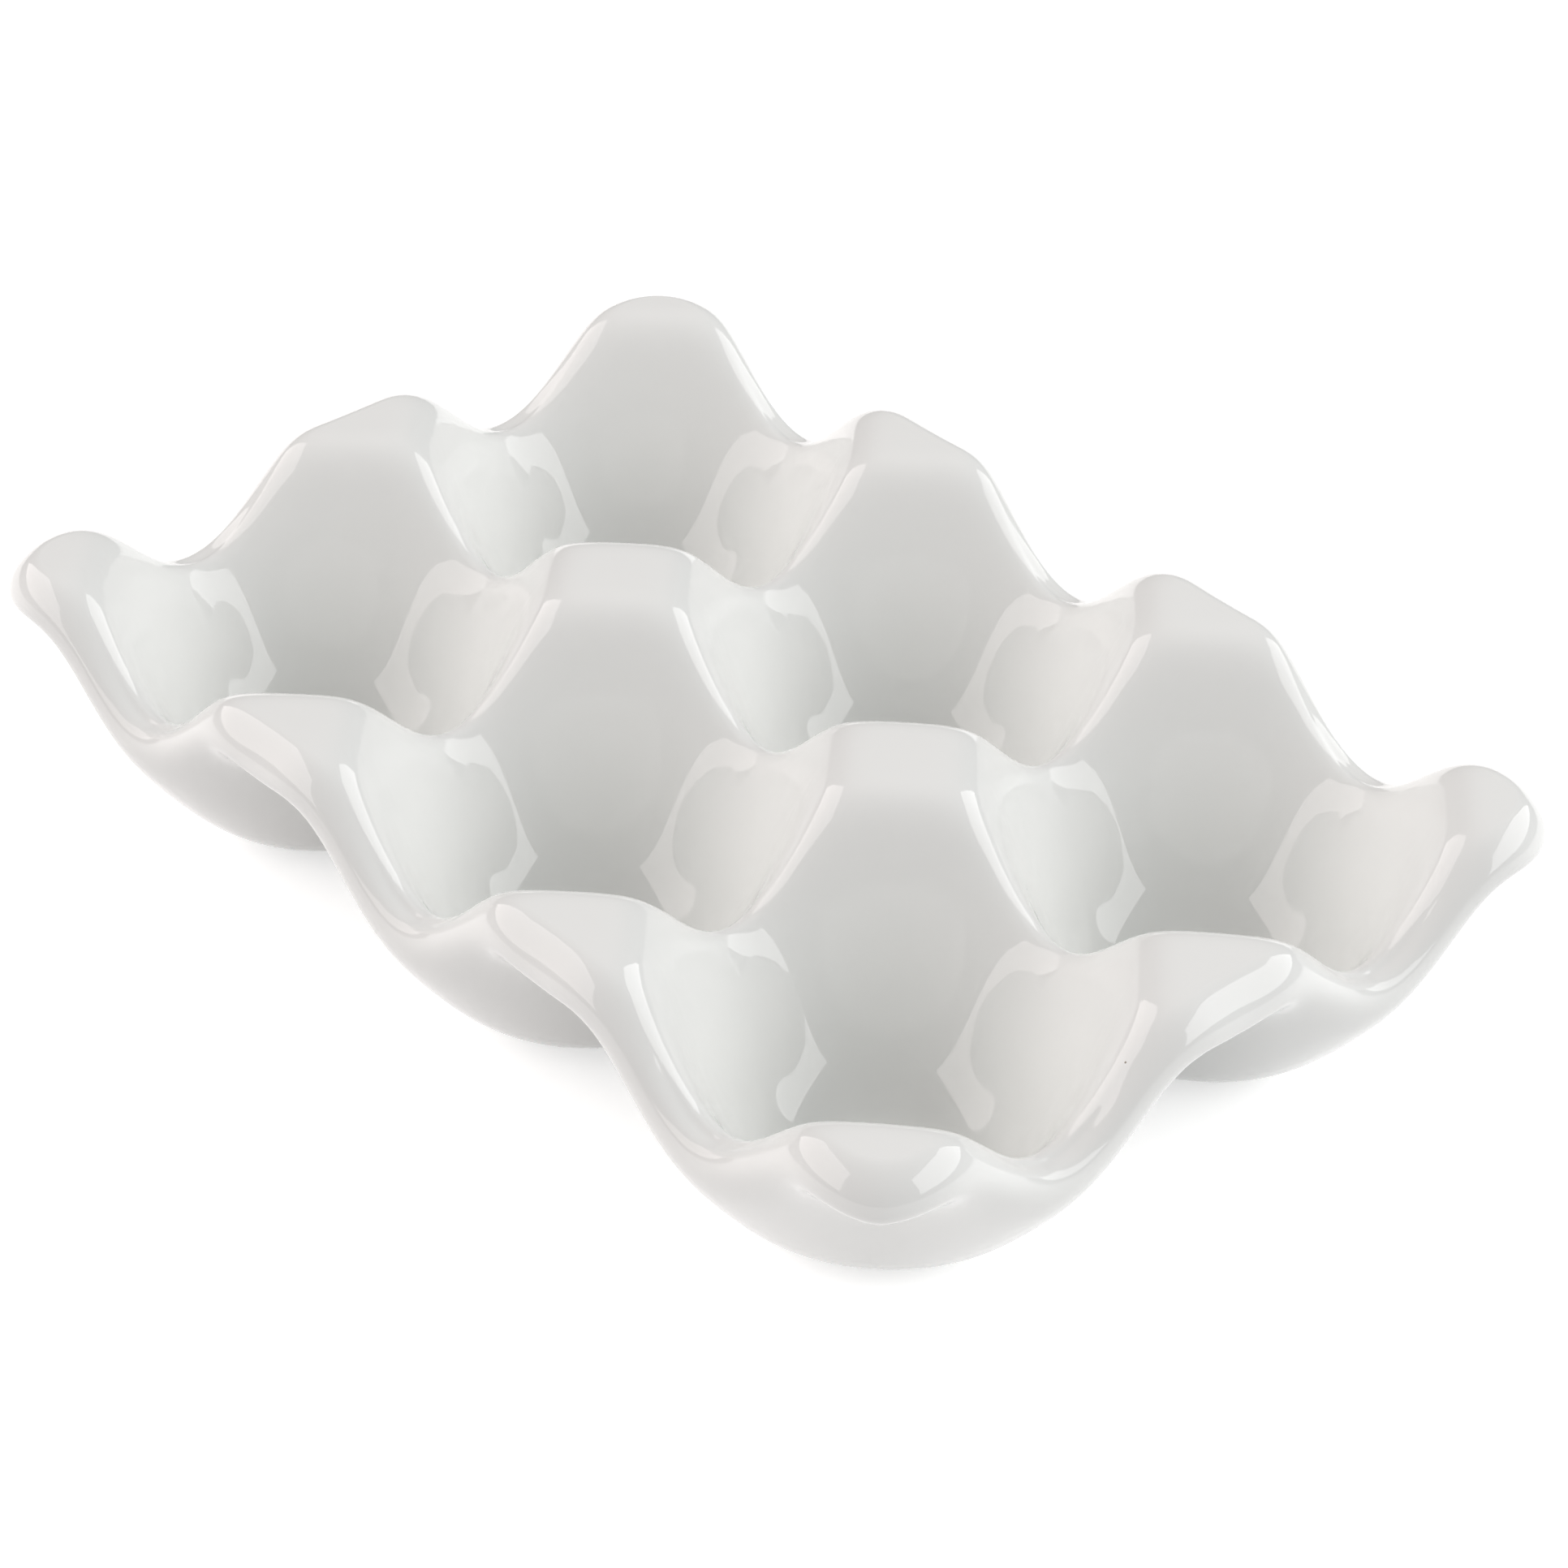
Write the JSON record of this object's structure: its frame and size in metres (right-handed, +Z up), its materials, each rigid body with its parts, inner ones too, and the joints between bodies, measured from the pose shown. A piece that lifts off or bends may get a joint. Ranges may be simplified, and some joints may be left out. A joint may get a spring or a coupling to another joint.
{
  "type": "egg tray",
  "caption": "White glazed ceramic egg tray: one undulating sheet of round cups between flat-topped peaks, with a rounded lip and bare feet, that holds eggs upright.",
  "frame": {"origin": "on the table, under the middle of the tray", "axes": "+X along the row of three cups, +Y across the two rows, +Z up, out of the cups"},
  "size_m": [0.2242, 0.1544, 0.0499],
  "materials": {
    "bisque_clay": "matte",
    "white_glaze": "gloss"
  },
  "bodies": {
    "root": {"tray_body": "bisque_clay", "glaze_coat": "white_glaze"}
  },
  "joints": []
}
